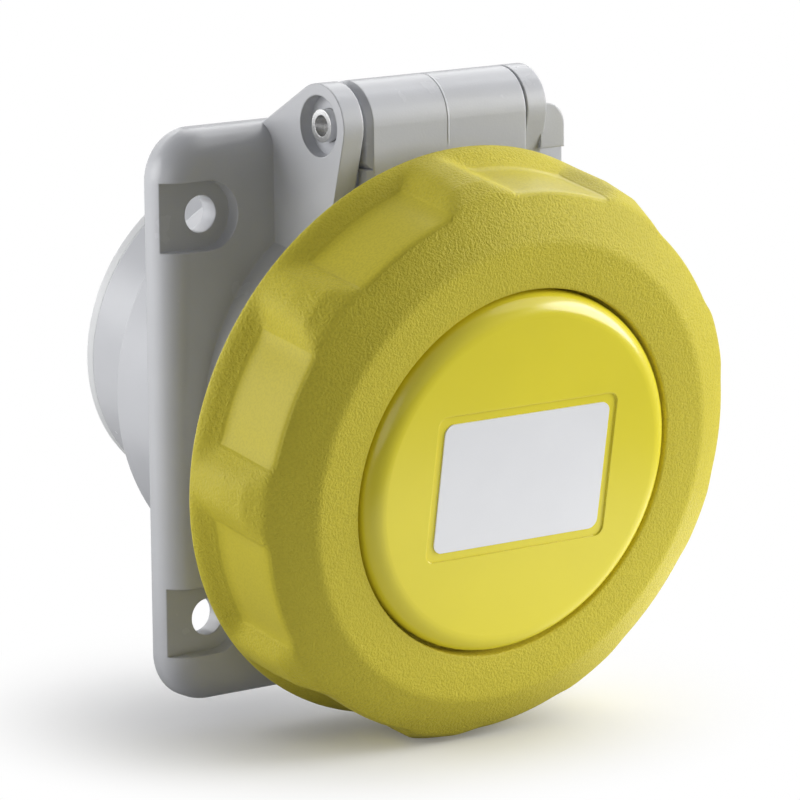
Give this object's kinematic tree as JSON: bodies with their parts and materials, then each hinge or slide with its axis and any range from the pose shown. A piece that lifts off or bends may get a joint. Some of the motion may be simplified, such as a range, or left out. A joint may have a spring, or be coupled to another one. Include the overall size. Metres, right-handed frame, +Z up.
{
  "type": "panel mount industrial connector",
  "caption": "Panel mount power socket: square flange, forward-leaning collar and a hinged, sealed lid locked by a turning bayonet ring with finger scoops.",
  "frame": {"origin": "centre of the flange's rear face, in the middle of its four fixing holes", "axes": "+X to the right seen from the front, -Y out of the panel to the front, +Z up; the socket leans 10 degrees down to the front"},
  "size_m": [0.088, 0.083, 0.0977],
  "materials": {
    "grey_moulding": "satin",
    "light_moulding": "satin",
    "yellow_textured": "fine spark texture",
    "yellow_gloss": "polished",
    "label_sheet": "plain",
    "soft_seal": "matt",
    "contact_brass": "turned",
    "bright_steel": "bright",
    "zinc_steel": "zinc plated"
  },
  "bodies": {
    "housing": {"flange_housing": "grey_moulding", "rear_housing": "grey_moulding", "panel_gasket": "soft_seal", "contact_carrier": "light_moulding", "carrier_screws": "zinc_steel", "hinge_pin": "bright_steel", "hinge_spring": "bright_steel", "contact_earth": "contact_brass", "contact_line_1": "contact_brass", "contact_line_2": "contact_brass", "contact_line_3": "contact_brass", "contact_line_4": "contact_brass", "contact_clip_earth": "bright_steel", "contact_clip_line_1": "bright_steel", "contact_clip_line_2": "bright_steel", "contact_clip_line_3": "bright_steel", "contact_clip_line_4": "bright_steel", "terminal_screw_earth": "zinc_steel", "terminal_screw_line_1": "zinc_steel", "terminal_screw_line_2": "zinc_steel", "terminal_screw_line_3": "zinc_steel", "terminal_screw_line_4": "zinc_steel"},
    "lid": {"lid_carrier": "grey_moulding", "lid_seal": "soft_seal", "lid_disc": "yellow_gloss", "disc_screws": "zinc_steel", "lid_label": "label_sheet"},
    "ring": {"bayonet_ring": "yellow_textured", "ring_skirt": "yellow_textured"}
  },
  "joints": [
    {"name": "lid_hinge", "type": "hinge", "parent": "housing", "child": "lid", "pos_m": [0, -0.017, 0.0432], "axis": [-1, 0, 0], "range_deg": [0, 105], "stiffness_Nm_per_rad": 0.05, "springref_deg": -34.38, "deforming": ["hinge_spring"]},
    {"name": "ring_turn", "type": "hinge", "parent": "lid", "child": "ring", "pos_m": [0, 0, 0], "axis": [0, 0.9848, 0.1736], "range_deg": [0, 40]}
  ]
}
